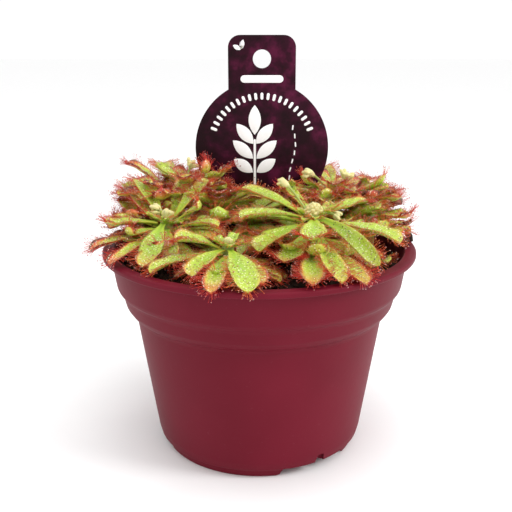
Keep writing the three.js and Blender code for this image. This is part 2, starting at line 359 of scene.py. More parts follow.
class PotSettings(bpy.types.PropertyGroup):
    colour: colour_setting("Colour", "Main colour of the pot", tint(0.125, 0.004, 0.014))
    worn_colour: colour_setting("Worn colour", "Colour of its cloudy patches", tint(0.155, 0.007, 0.02))
    wall: length_setting("Wall", "Thickness of the moulded wall", 1.2 * MM)
    segments: bpy.props.IntProperty(
        name="Segments", description="Steps round the pot", default=192, min=48, max=384
    )


class PeatSettings(bpy.types.PropertyGroup):
    colour: colour_setting("Colour", "Middle colour of the damp peat", tint(0.03, 0.012, 0.006))
    lumps: length_setting("Lumps", "Height of the surface's unevenness", 1.3 * MM)
    crumbs: bpy.props.IntProperty(
        name="Crumbs", description="Loose crumbs on the surface", default=1500, min=0, max=5000
    )


class LabelSettings(bpy.types.PropertyGroup):
    colour: colour_setting("Colour", "Darkest colour of the card", tint(0.012, 0.001, 0.004))
    print_colour: colour_setting("Print", "Colour of the printed marks", tint(0.97, 0.96, 0.97))
    proud: length_setting("Print height", "How far the marks stand off the card", 0.04 * MM)


class LeafSettings(bpy.types.PropertyGroup):
    young: colour_setting("Young", "Colour of a fresh petiole", tint(0.4, 0.56, 0.035))
    blade: colour_setting("Blade", "Main colour of the blade", tint(0.45, 0.57, 0.05))
    yellow: colour_setting("Yellow", "Colour where the flush begins", tint(0.6, 0.5, 0.06))
    orange: colour_setting("Orange", "Colour of a flushed margin", tint(0.6, 0.15, 0.02))
    red: colour_setting("Red", "Colour of an old tip", tint(0.48, 0.05, 0.014))
    dark: colour_setting("Dark", "Colour of a dying leaf", tint(0.12, 0.02, 0.008))
    thickness: length_setting("Thickness", "Thickness at the midrib", 0.62 * MM)


class HairSettings(bpy.types.PropertyGroup):
    pale: colour_setting("Pale", "Colour of a short hair", tint(0.62, 0.46, 0.2))
    orange: colour_setting("Orange", "Colour of a middling hair", tint(0.8, 0.2, 0.035))
    red: colour_setting("Red", "Colour of a long hair", tint(0.58, 0.025, 0.01))
    stalk: length_setting("Stalk", "Radius of a hair's stalk", 0.055 * MM)
    head: length_setting("Head", "Radius of the gland on it", 0.1 * MM)
    drop: length_setting("Drop", "Radius of the drop on the gland", 0.18 * MM)
    dewy: bpy.props.FloatProperty(
        name="Dewy", description="Share of the hairs that carry a drop", default=0.35, min=0.01, max=1
    )


class BudSettings(bpy.types.PropertyGroup):
    stalk: colour_setting("Stalk", "Colour of stems and stalks", tint(0.36, 0.42, 0.1))
    bud: colour_setting("Bud", "Colour of the unopened knobs", tint(0.74, 0.66, 0.3))


class StageSettings(bpy.types.PropertyGroup):
    colour: colour_setting("Floor", "Colour of the floor", tint(0.97, 0.97, 0.97))
    camera_height: length_setting("Camera height", "Height of the camera", 121 * MM)
    camera_distance: length_setting("Camera distance", "From the pot's axis", 222 * MM)
    camera_pitch: bpy.props.FloatProperty(
        name="Pitch", description="Camera's look down", default=math.radians(16.3), subtype="ANGLE"
    )


SETTINGS = {
    "sundew_pot": PotSettings,
    "sundew_peat": PeatSettings,
    "sundew_label": LabelSettings,
    "sundew_leaf": LeafSettings,
    "sundew_hair": HairSettings,
    "sundew_bud": BudSettings,
    "sundew_stage": StageSettings,
}


# ---------------------------------------------------------------- mesh tools


def new_piece(name, mesh, material, replaced=()):
    """Put a finished mesh in the scene, riding on the pot."""
    if not mesh.polygons:
        raise RuntimeError(f"{name} has no faces")
    mesh.name = name
    mesh.materials.clear()
    mesh.materials.append(material)
    mesh.shade_smooth()
    piece = bpy.data.objects.new(name, mesh)
    bpy.context.scene.collection.objects.link(piece)
    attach(piece, BODY)
    if replaced:
        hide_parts(*replaced)
    return piece


def mesh_of(shell):
    """A plain mesh of a bmesh, which is freed."""
    mesh = bpy.data.meshes.new("shell")
    shell.to_mesh(mesh)
    shell.free()
    return mesh


def loft(shell, rings):
    """Skin a list of vertex rings, each the same length, and close the ends to a point."""
    count = len(rings[0])
    for low, high in zip(rings, rings[1:]):
        for i in range(count):
            j = (i + 1) % count
            shell.faces.new((low[i], low[j], high[j], high[i]))
    for ring in (rings[0], rings[-1]):
        middle = shell.verts.new(sum((v.co for v in ring), Vector()) / count)
        for i in range(count):
            shell.faces.new((middle, ring[i], ring[(i + 1) % count]))


def smooth(value, start, end):
    t = min(1.0, max(0.0, (value - start) / (end - start)))
    return t * t * (3 - 2 * t)


def lerp(a, b, t):
    return a + (b - a) * t


def heading(azimuth, rise=0.0):
    """The direction at an azimuth from +X towards +Y and a rise, in degrees."""
    a, r = math.radians(azimuth), math.radians(rise)
    return Vector((math.cos(r) * math.cos(a), math.cos(r) * math.sin(a), math.sin(r)))


# ---------------------------------------------------------------- pot

def rounded(corners, radius, steps=4):
    """Replace each inner corner of an open (radius, height) line by a short arc."""
    points = [Vector(corners[0])]
    for before, corner, after in zip(corners, corners[1:], corners[2:]):
        here, back, ahead = Vector(corner), Vector(before), Vector(after)
        reach = min(radius, (here - back).length * 0.45, (ahead - here).length * 0.45)
        start = here + (back - here).normalized() * reach
        end = here + (ahead - here).normalized() * reach
        for i in range(steps + 1):
            t = i / steps
            points.append(start * (1 - t) ** 2 + here * 2 * t * (1 - t) + end * t * t)
    points.append(Vector(corners[-1]))
    return points


def pot_outline(wall):
    """The pot's section as (radius, height), from the axis under the floor to the axis on it."""
    outer = [
        (0, 2.6), (27.2, 2.6), (27.2, 0), (28.9, 0), (29.3, 1.2), (29.6, 2.4), (30.5, 2.7),
        (31.1, 5.0), (36.5, 40.3), (36.8, SECOND_LINE), (38.4, 42.5), (39.4, 44.0), (40.2, 47.2),
        (40.6, FIRST_LINE), (41.4, 48.9), (41.8, 49.8), (NECK - 0.1, 58.0), (NECK, 59.0), (44.4, 59.0),
        (44.6, LIP), (45.3, LIP), (RIM, LIP + 0.3), (RIM, RIM_TOP - 0.4), (RIM - 0.4, RIM_TOP),
        (NECK - wall + 0.3, RIM_TOP), (NECK - wall, RIM_TOP - 0.5),
    ]
    inner = [(40.8 - wall, 49.7), (39.5 - wall, 48.2), (36.0 - wall, 41.2), (30.7 - wall, 4.6), (0, 3.8)]
    return rounded(outer + inner, 0.3)


def gap_lift(azimuth):
    """1 between two feet, 0 on a foot, sloping at the feet's ends."""
    pitch = 360 / FOOT_GAP["count"]
    off = abs((azimuth - FOOT_GAP["azimuth"] + pitch / 2) % pitch - pitch / 2)
    return 1 - smooth(off, FOOT_GAP["span"] / 2 - 2.5, FOOT_GAP["span"] / 2 + 1.5)


def pot_mesh(settings):
    wall = settings.wall / MM
    line = pot_outline(wall)
    shell = bmesh.new()
    rings = []
    for radius, height in line[1:-1]:
        ring = []
        for i in range(settings.segments):
            azimuth = 360 * i / settings.segments
            lifted = height
            if radius > 26 and height < FOOT_GAP["height"]:
                lifted = lerp(height, FOOT_GAP["height"] + 0.1 * height, gap_lift(azimuth))
            point = heading(azimuth) * radius
            ring.append(shell.verts.new((point + UP * lifted) * MM))
        rings.append(ring)
    loft(shell, rings)
    bmesh.ops.recalc_face_normals(shell, faces=shell.faces)
    return mesh_of(shell)


def cut_drains(mesh):
    """Bore the drain holes through the corner of the floor, at the middle of each foot gap."""
    pot = bpy.data.objects.new("pot_blank", mesh)
    bpy.context.scene.collection.objects.link(pot)
    shell = bmesh.new()
    for i in range(FOOT_GAP["count"]):
        centre = heading(FOOT_GAP["azimuth"] + 360 / FOOT_GAP["count"] * i) * DRAIN["ring"]
        rings = []
        for height in (-1.0, DRAIN["top"]):
            angles = [360 * k / 20 for k in range(20)]
            corners = [centre + heading(a) * DRAIN["radius"] + UP * height for a in angles]
            rings.append([shell.verts.new(corner * MM) for corner in corners])
        loft(shell, rings)
    bmesh.ops.recalc_face_normals(shell, faces=shell.faces)
    drill = bpy.data.objects.new("drill", mesh_of(shell))
    bpy.context.scene.collection.objects.link(drill)
    cut = pot.modifiers.new("drains", "BOOLEAN")
    cut.operation = "DIFFERENCE"
    cut.solver = "EXACT"
    cut.object = drill
    graph = bpy.context.evaluated_depsgraph_get()
    result = bpy.data.meshes.new_from_object(pot.evaluated_get(graph))
    bpy.data.objects.remove(pot)
    bpy.data.objects.remove(drill)
    return result


class SUNDEW_OT_pot(bpy.types.Operator):
    """Mould the pot: bands, turned-down rim, feet and drain holes"""

    bl_idname = "sundew.pot"
    bl_label = "Make pot"

    def execute(self, context):
        settings = context.scene.sundew_pot
        mesh = cut_drains(pot_mesh(settings))
        piece = new_piece("pot_shell", mesh, pot_plastic(settings), ["pot"])
        piece.data.set_sharp_from_angle(angle=math.radians(40))
        return {"FINISHED"}


# ---------------------------------------------------------------- peat

def peat_level(x, y, lumps=0.0):
    """Height of the peat at a place, in millimetres."""
    level = lerp(PEAT_MIDDLE, PEAT_SIDE, smooth(math.hypot(x, y), 12, PEAT_EDGE))
    if lumps:
        where = Vector((x, y, 3.1)) * 0.16
        level += lumps * (noise.noise(where) + 0.5 * noise.noise(where * 3.1))
    return level


def peat_mesh(settings):
    lumps = settings.lumps / MM
    shell = bmesh.new()
    rings = []
    below = [(27.0, 4.6), (30.0, 12.0), (33.2, 34.0), (34.2, 41.0), (37.9, 48.2), (39.8, 53.0)]
    for radius, height in below:
        ring = [heading(360 * i / 128) * radius + UP * height for i in range(128)]
        rings.append([shell.verts.new(p * MM) for p in ring])
    for k in range(44):
        radius = PEAT_EDGE * (1 - k / 44.5)
        ring = []
        for i in range(128):
            p = heading(360 * i / 128) * radius
            ring.append(shell.verts.new(Vector((p.x, p.y, peat_level(p.x, p.y, lumps))) * MM))
        rings.append(ring)
    loft(shell, rings)
    bmesh.ops.recalc_face_normals(shell, faces=shell.faces)
    return mesh_of(shell)


# ---------------------------------------------------------------- geometry nodes


class Recipe:
    """A Geometry Nodes tree with named inputs."""

    def __init__(self, name):
        self.tree = bpy.data.node_groups.new(name, "GeometryNodeTree")
        self.tree.interface.new_socket("Geometry", in_out="INPUT", socket_type="NodeSocketGeometry")
        self.tree.interface.new_socket("Geometry", in_out="OUTPUT", socket_type="NodeSocketGeometry")
        self.source = self.tree.nodes.new("NodeGroupInput")
        self.sink = self.tree.nodes.new("NodeGroupOutput")
        self.keys = {}

    def setting(self, name, kind, value):
        made = self.tree.interface.new_socket(name, in_out="INPUT", socket_type=kind)
        self.keys[made.identifier] = value
        return self.source.outputs[made.identifier]

    def node(self, kind, settings=None, inputs=None, output=0):
        made = self.tree.nodes.new(kind)
        for key, value in (settings or {}).items():
            setattr(made, key, value)
        for key, item in (inputs or {}).items():
            if isinstance(item, bpy.types.NodeSocket):
                self.tree.links.new(item, made.inputs[key])
            else:
                made.inputs[key].default_value = item
        return made.outputs[output]

    def named(self, name, kind="FLOAT"):
        return self.node("GeometryNodeInputNamedAttribute", {"data_type": kind}, {"Name": name})

    def finish(self, geometry, material):
        whole = self.node("GeometryNodeRealizeInstances", None, {"Geometry": geometry})
        skin = self.setting("Material", "NodeSocketMaterial", material)
        done = self.node("GeometryNodeSetMaterial", None, {"Geometry": whole, "Material": skin})
        self.tree.links.new(done, self.sink.inputs[0])

    def grow(self, points):
        """Run the tree on a mesh of points and return the plain mesh."""
        holder = bpy.data.objects.new("seedbed", points)
        bpy.context.scene.collection.objects.link(holder)
        modifier = holder.modifiers.new("grow", "NODES")
        modifier.node_group = self.tree
        for key, value in self.keys.items():
            modifier[key] = value
        graph = bpy.context.evaluated_depsgraph_get()
        mesh = bpy.data.meshes.new_from_object(holder.evaluated_get(graph))
        holder.modifiers.remove(modifier)
        bpy.data.objects.remove(holder)
        return mesh


def point_mesh(places, **attributes):
    """A mesh of bare points with float or vector attributes, one value for each point."""
    mesh = bpy.data.meshes.new("points")
    mesh.from_pydata([tuple(p) for p in places], [], [])
    for name, values in attributes.items():
        if isinstance(values[0], (float, int)):
            layer = mesh.attributes.new(name, "FLOAT", "POINT")
            layer.data.foreach_set("value", values)
        else:
            layer = mesh.attributes.new(name, "FLOAT_VECTOR", "POINT")
            layer.data.foreach_set("vector", [c for v in values for c in v])
    return mesh


def crumb_recipe(material, seed):
    """Rough little lumps, turned at random and sized by the points' own attribute."""
    recipe = Recipe("crumbs")
    size = recipe.setting("Size", "NodeSocketFloat", 1.0)
    seed_value = recipe.setting("Seed", "NodeSocketInt", seed)
    lump = recipe.node("GeometryNodeMeshIcoSphere", None, {"Radius": 1.0, "Subdivisions": 1})
    turn = recipe.node(
        "FunctionNodeRandomValue",
        {"data_type": "FLOAT_VECTOR"},
        {"Min": (0, 0, 0), "Max": (6.28, 6.28, 6.28), "Seed": seed_value},
    )
    scaled = recipe.node(
        "ShaderNodeVectorMath",
        {"operation": "SCALE"},
        {0: recipe.named("stretch", "FLOAT_VECTOR"), "Scale": size},
    )
    placed = recipe.node(
        "GeometryNodeInstanceOnPoints",
        None,
        {"Points": recipe.source.outputs[0], "Instance": lump, "Rotation": turn, "Scale": scaled},
    )
    recipe.finish(placed, material)
    return recipe


def scattered(rng, count, size, stretch, lumps):
    """Points over the peat, each with its radii along three axes."""
    places, sizes = [], []
    for _ in range(count):
        p = heading(rng.uniform(0, 360)) * ((PEAT_EDGE - 0.5) * math.sqrt(rng.random()))
        radius = rng.uniform(*size)
        places.append(Vector((p.x, p.y, peat_level(p.x, p.y, lumps) + 0.4 * radius)) * MM)
        sizes.append(tuple(radius * s * rng.uniform(0.6, 1.4) * MM for s in stretch))
    return point_mesh(places, stretch=sizes)


class SUNDEW_OT_peat(bpy.types.Operator):
    """Fill the pot with peat, crumbs, fibres and a few grains of perlite"""

    bl_idname = "sundew.peat"
    bl_label = "Make peat"

    def execute(self, context):
        settings = context.scene.sundew_peat
        fibre = peat_fibre(settings)
        perlite = perlite_grain()
        rng = random.Random(11)
        new_piece("peat_bed", peat_mesh(settings), fibre, ["peat_soil"])
        loose = [
            ("peat_crumbs", fibre, settings.crumbs, (0.25, 0.9), (1, 0.8, 0.6)),
            ("peat_strands", fibre, settings.crumbs // 4, (0.3, 0.6), (0.25, 0.25, 4.5)),
            ("perlite_grains", perlite, settings.crumbs // 60, (0.3, 0.6), (1, 1, 0.8)),
        ]
        for seed, (name, material, count, size, stretch) in enumerate(loose):
            points = scattered(rng, count, size, stretch, settings.lumps / MM)
            mesh = crumb_recipe(material, seed).grow(points)
            new_piece(name, mesh, material)
        chips = [Vector((44.6, 3.5, 61.6)), Vector((42.6, -2.5, 60.6)), Vector((-34.0, -22.0, 59.4))]
        stretches = [(3.0, 1.0, 1.5), (2.0, 0.9, 1.2), (0.9, 0.5, 0.6)]
        sizes = [tuple(radius * MM for radius in stretch) for stretch in stretches]
        points = point_mesh([chip * MM for chip in chips], stretch=sizes)
        new_piece("bark_chips", crumb_recipe(fibre, 5).grow(points), fibre)
        return {"FINISHED"}


# ---------------------------------------------------------------- leaves


class Blade:
    """The run of a leaf: its midrib, its level, and how wide it may be."""

    def __init__(self, centres, sides, ups, width):
        self.centres = centres
        self.sides = sides
        self.ups = ups
        self.width = width
        self.length = sum((b - a).length for a, b in zip(centres, centres[1:]))

    def at(self, t):
        """Centre, side and up at t from 0 at the base to 1 at the tip."""
        last = len(self.centres) - 1
        spot = min(max(t, 0.0), 1.0) * last
        i = min(int(spot), last - 1)
        f = spot - i
        p0 = self.centres[max(i - 1, 0)]
        p1, p2 = self.centres[i], self.centres[i + 1]
        p3 = self.centres[min(i + 2, last)]
        centre = 0.5 * (
            2 * p1 + (p2 - p0) * f + (2 * p0 - 5 * p1 + 4 * p2 - p3) * f * f
            + (3 * p1 - 3 * p2 + p3 - p0) * f ** 3
        )
        side = self.sides[i].lerp(self.sides[i + 1], f).normalized()
        up = self.ups[i].lerp(self.ups[i + 1], f).normalized()
        return centre, side, up

    def half(self, t):
        """Half the width of a spoon-shaped blade."""
        widening = lerp(0.85, self.width / 2, smooth(t, 0.05, 0.66))
        end = max(0.0, (t - 0.83) / 0.17)
        return widening * math.sqrt(max(0.0, 1 - end ** 2.3))


def grown_blade(base, azimuth, length, rise_base, rise_tip, width, bend=0.0, steps=10):
    """A blade whose rise and azimuth change evenly from its base to its tip."""
    centres, sides, ups = [Vector(base)], [], []
    for i in range(steps + 1):
        t = i / steps
        turn = azimuth + bend * t
        rise = lerp(rise_base, rise_tip, t)
        forward = heading(turn, rise)
        side = heading(turn + 90)
        sides.append(side)
        ups.append(forward.cross(side))
        if i < steps:
            centres.append(centres[-1] + heading(turn, rise) * (length / steps))
    return Blade(centres, sides, ups, width)


def merged_copy(node):
    """The CAD node's vertices and edges, with its loose triangles joined."""
    shell = bmesh.new()
    shell.from_mesh(bpy.data.objects[node].data)
    bmesh.ops.remove_doubles(shell, verts=shell.verts, dist=0.002 * MM)
    shell.verts.ensure_lookup_table()
    return shell


def rings_of(node, start):
    """The rings of a swept CAD node, in millimetres, from the pole nearest to start."""
    shell = merged_copy(node)
    poles = [v for v in shell.verts if all(len(e.other_vert(v).link_edges) == 5 for e in v.link_edges)]
    pole = min(poles, key=lambda v: (v.co / MM - start).length)
    seen = {pole}
    level = [pole]
    rings = []
    while level:
        rings.append([v.co / MM for v in level])
        following = []
        for vertex in level:
            for edge in vertex.link_edges:
                other = edge.other_vert(vertex)
                if other not in seen:
                    seen.add(other)
                    following.append(other)
        level = following
    shell.free()
    return rings


def blade_of(node, crown):
    """The blade that a CAD leaf's rings describe."""
    rings = rings_of(node, crown)
    middles = [sum(ring, Vector()) / len(ring) for ring in rings]
    sides, ups, width = [], [], 0.0
    for i, ring in enumerate(rings):
        forward = (middles[min(i + 1, len(rings) - 1)] - middles[max(i - 1, 0)]).normalized()
        if len(ring) < 6:
            sides.append(None)
            ups.append(None)
            continue
        pairs = [(a, b) for a in ring for b in ring]
        left, right = max(pairs, key=lambda pair: (pair[0] - pair[1]).length)
        side = (left - right).normalized()
        if side.dot(UP.cross(forward)) < 0:
            side = -side
        sides.append(side)
        ups.append(forward.cross(side).normalized())
        width = max(width, (left - right).length)
    sides[0], ups[0] = sides[1], ups[1]
    sides[-1], ups[-1] = sides[-2], ups[-2]
    return Blade(middles, sides, ups, width)


def curl(blade, amount, start=0.72):
    """Roll the end of a blade up and back by an angle in degrees."""
    last = len(blade.centres) - 1
    centres = list(blade.centres)
    ups = list(blade.ups)
    for i in range(1, last + 1):
        t = i / last
        if t <= start:
            continue
        forward = (blade.centres[i] - blade.centres[i - 1]).normalized()
        angle = math.radians(amount) * (t - start) / (1 - start)
        up = blade.ups[i - 1]
        turned = forward * math.cos(angle) + up * math.sin(angle)
        centres[i] = centres[i - 1] + turned * (blade.centres[i] - blade.centres[i - 1]).length * 0.85
        ups[i] = up * math.cos(angle) - forward * math.sin(angle)
    return Blade(centres, blade.sides, ups, blade.width)


def leaf_point(blade, t, s, seed):
    """The point on a leaf's middle surface at t along it and s across it, with the up and side there."""
    centre, side, up = blade.at(t)
    half = blade.half(t)
    wave = noise.noise(Vector((t * 4.5, s * 0.9, seed)))
    ripple = noise.noise(Vector((t * 13.0, s * 2.0, seed + 7)))
    cup = (0.3 + 0.22 * smooth(t, 0.5, 1.0)) * half * s * s
    groove = -0.1 * math.exp(-((s / 0.16) ** 2)) * (1 - smooth(t, 0.5, 0.95))
    lift = cup + groove + 0.4 * wave * smooth(t, 0.1, 0.6) + 0.16 * ripple * abs(s)
    return centre + side * (half * s * (1 + 0.06 * ripple)) + up * lift, up, side


class LeafMaker:
    """Adds leaves to one mesh with the attributes that the leaf's skin reads."""

    def __init__(self, thickness, stations=30, ribs=10):
        self.shell = bmesh.new()
        self.across = self.shell.verts.layers.float.new("across")
        self.along = self.shell.verts.layers.float.new("along")
        self.age = self.shell.verts.layers.float.new("age")
        self.thickness = thickness
        self.stations = stations
        self.ribs = ribs

    def add(self, blade, age, seed):
        rows = []
        for i in range(self.stations + 1):
            t = 0.999 - 0.998 * (1 - i / self.stations) ** 1.4
            ring = []
            thick = self.thickness * lerp(1.15, 0.8, t)
            for side_sign in (1, -1):
                order = range(self.ribs + 1) if side_sign > 0 else range(self.ribs - 1, 0, -1)
                for j in order:
                    s = 2 * j / self.ribs - 1
                    point, up, _ = leaf_point(blade, t, s, seed)
                    body = 0.5 * thick * math.sqrt(max(0.0, 1 - 0.92 * s * s))
                    vertex = self.shell.verts.new((point + up * body * side_sign) * MM)
                    vertex[self.across] = s
                    vertex[self.along] = t
                    vertex[self.age] = age
                    ring.append(vertex)
            rows.append(ring)
        before = len(self.shell.verts)
        loft(self.shell, rows)
        self.shell.verts.ensure_lookup_table()
        for vertex, t in zip(self.shell.verts[before:], (0.0, 1.0)):
            vertex[self.across], vertex[self.along], vertex[self.age] = 0.0, t, age

    def mesh(self):
        bmesh.ops.recalc_face_normals(self.shell, faces=self.shell.faces)
        return mesh_of(self.shell)


# How far each leaf has flushed, 0 fresh to 1 dying, and how far its tip has rolled up, in degrees.
LEAF_AGE = {
    "leaf_left_1": 0.3, "leaf_left_2": 0.38, "leaf_left_3": 0.32, "leaf_left_4": 0.34,
    "leaf_left_5": 0.14, "leaf_left_6": 0.42, "leaf_left_7": 0.34, "leaf_left_8": 0.36,
    "leaf_left_9": 0.4, "leaf_left_10": 0.42, "leaf_left_11": 0.78, "leaf_left_12": 0.66,
    "leaf_left_13": 0.62, "leaf_right_1": 0.3, "leaf_right_2": 0.24, "leaf_right_3": 0.32,
    "leaf_right_4": 0.28, "leaf_right_5": 0.34, "leaf_right_6": 0.26, "leaf_right_7": 0.28,
    "leaf_right_8": 0.26, "leaf_right_9": 0.36, "leaf_right_10": 0.12, "leaf_right_11": 0.5,
    "leaf_right_12": 0.4, "leaf_right_13": 0.3, "leaf_right_14": 0.52, "leaf_right_15": 0.5,
    "leaf_front_1": 0.36, "leaf_front_2": 0.4, "leaf_front_3": 0.22, "leaf_front_4": 0.3,
    "leaf_front_5": 0.5, "leaf_front_6": 0.46, "leaf_right_side_1": 0.42,
    "leaf_right_side_2": 0.6, "leaf_back_left_1": 0.6, "leaf_back_left_2": 0.34,
    "leaf_back_left_3": 0.56, "leaf_back_left_4": 0.46, "leaf_back_left_5": 0.66,
    "leaf_back_right_1": 0.42, "leaf_back_right_2": 0.52, "leaf_back_right_3": 0.46,
    "leaf_back_right_4": 0.6,
}
LEAF_CURL = {
    "leaf_left_3": 120, "leaf_left_9": 130, "leaf_left_4": 50, "leaf_right_3": 60,
    "leaf_right_6": 150, "leaf_right_11": 35, "leaf_back_left_3": 90, "leaf_right_side_2": 60,
    "leaf_back_right_1": 50,
}

# Clumps of older leaves under the rosettes: place of the crown, how many leaves, their mean length,
# the mean rise at the base, and how flushed they are.
OLD_CLUMPS = {
    "left": ((-26.5, -5.5, 64.5), 20, 17.5, 6, 0.6),
    "right": ((15.3, -8.5, 64.5), 22, 20.0, 4, 0.58),
    "front": ((-8.3, -22.6, 61.5), 12, 15.0, 2, 0.52),
    "right_side": ((33, 6, 65.0), 16, 12.5, 18, 0.62),
    "right_inner": ((24, 3, 66.0), 12, 11.5, 26, 0.5),
    "left_inner": ((-13, 13, 67.5), 16, 13.0, 32, 0.45),
    "back_left": ((-26, 18, 68.0), 24, 16.5, 22, 0.6),
    "back_left_high": ((-22, 10, 70.5), 12, 12.0, 34, 0.55),
    "back_right": ((24, 17, 69.0), 22, 16.0, 24, 0.58),
    "back_right_high": ((16, 12, 70.0), 12, 11.0, 34, 0.5),
    "middle": ((-4, 6, 65.5), 18, 15.0, 22, 0.56),
    "back_middle": ((2, 31, 63.0), 18, 14.5, 20, 0.5),
    "back_left_edge": ((-31, 13, 70.5), 18, 13.0, 30, 0.56),
    "back_left_top": ((-20, 15, 72.5), 14, 12.0, 38, 0.45),
    "back_right_edge": ((32, 13, 69.5), 16, 12.0, 28, 0.54),
    "back_left_fill": ((-13, 27, 67.0), 15, 13.0, 32, 0.55),
    "back_right_fill": ((13, 27, 67.0), 15, 13.0, 32, 0.55),
    "back_left_low": ((-24, 25, 62.5), 15, 13.0, 12, 0.64),
    "back_right_low": ((22, 26, 62.5), 15, 13.0, 12, 0.64),
    "left_edge": ((-36, 7, 65.0), 13, 11.5, 32, 0.74),
    "right_back": ((35, 17, 66.0), 13, 12.0, 30, 0.68),
}


def crown_top(name):
    """The top of a crown, in millimetres."""
    low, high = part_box(f"crown_{name}")
    return Vector(((low[0] + high[0]) / 2, (low[1] + high[1]) / 2, high[2])) / MM


def crown_head(name):
    """The radius of a crown's knot."""
    low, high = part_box(f"crown_{name}")
    return (high[0] - low[0]) / 2 / MM


def cad_leaves():
    """Each CAD leaf's node, blade, age and seed."""
    found = []
    for rosette in ROSETTES:
        crown = crown_top(rosette) - UP * 3
        names = [n for n in NODES if n.rsplit("_", 1)[0] == f"leaf_{rosette}"]
        for name in sorted(names, key=lambda n: int(n.rsplit("_", 1)[1])):
            blade = blade_of(name, crown)
            if name in LEAF_CURL:
                blade = curl(blade, LEAF_CURL[name])
            found.append((rosette, name, blade, LEAF_AGE[name], 3.7 * len(found)))
    return found


def old_leaves():
    """The older leaves of each clump: blade, age and seed."""
    for number, (name, (place, count, length, rise, age)) in enumerate(OLD_CLUMPS.items()):
        rng = random.Random(100 + number)
        leaves = []
        for i in range(count):
            azimuth = GOLDEN_ANGLE * i + rng.uniform(-16, 16)
            reach = length * rng.uniform(0.7, 1.2)
            lift = rise + rng.uniform(-10, 14)
            base = Vector(place) + heading(azimuth) * 1.4 - UP * (2.2 * i / count)
            edge = base + heading(azimuth) * reach
            over = max(0.0, math.hypot(edge.x, edge.y) - 45.5)
            reach -= over
            blade = grown_blade(
                base, azimuth, max(reach, 6.0), lift, lift - rng.uniform(18, 40),
                rng.uniform(4.6, 6.6), rng.uniform(-25, 25),
            )
            blade = rested(blade)
            if rng.random() < 0.3:
                blade = curl(blade, rng.uniform(40, 140))
            shown_age = min(1.0, max(0.15, 0.88 * age + rng.uniform(-0.38, 0.3)))
            leaves.append((blade, shown_age, 50 * number + i))
        yield name, leaves


def young_leaves(rosette):
    """Small upright leaves round a crown's knot: blade, age and seed."""
    rng = random.Random(f"young {rosette}")
    top = crown_top(rosette)
    head = crown_head(rosette)
    leaves = []
    for i in range(round(5 + head)):
        azimuth = GOLDEN_ANGLE * i + rng.uniform(-10, 10)
        base = top - UP * head * rng.uniform(1.5, 1.9) + heading(azimuth) * head * 0.3
        rise = rng.uniform(22, 48)
        length = rng.uniform(1.5, 2.4) * (head + 0.6)
        blade = grown_blade(base, azimuth, length, rise, rise - 25, rng.uniform(2.2, 3.4))
        leaves.append((blade, rng.uniform(0.1, 0.3), 700 + i))
    return leaves


def rested(blade):
    """Keep a blade above the peat and over the pot's rim."""
    centres = []
    for point in blade.centres:
        radius = math.hypot(point.x, point.y)
        floor = peat_level(point.x, point.y) + 0.5 if radius < 39 else RIM_TOP + 0.7
        if 35 < radius <= 39:
            floor = lerp(floor, RIM_TOP + 0.7, (radius - 35) / 4)
        centres.append(Vector((point.x, point.y, max(point.z, floor))))
    return Blade(centres, blade.sides, blade.ups, blade.width)


class SUNDEW_OT_leaves(bpy.types.Operator):
    """Shape every leaf of the rosettes along the frame's leaves"""

    bl_idname = "sundew.leaves"
    bl_label = "Make leaves"

    def execute(self, context):
        settings = context.scene.sundew_leaf
        skin = leaf_skin(settings)
        for _, name, blade, age, seed in cad_leaves():
            maker = LeafMaker(settings.thickness / MM)
            maker.add(blade, age, seed)
            new_piece(f"blade_{name[5:]}", maker.mesh(), skin, [name])
        clumps = [(f"old_leaves_{name}", leaves) for name, leaves in old_leaves()]
        clumps += [(f"young_leaves_{rosette}", young_leaves(rosette)) for rosette in ROSETTES]
        for name, leaves in clumps:
            maker = LeafMaker(settings.thickness / MM, stations=16, ribs=6)
            for blade, age, seed in leaves:
                maker.add(blade, age, seed)
            new_piece(name, maker.mesh(), skin)
        return {"FINISHED"}


# ---------------------------------------------------------------- hairs and dew


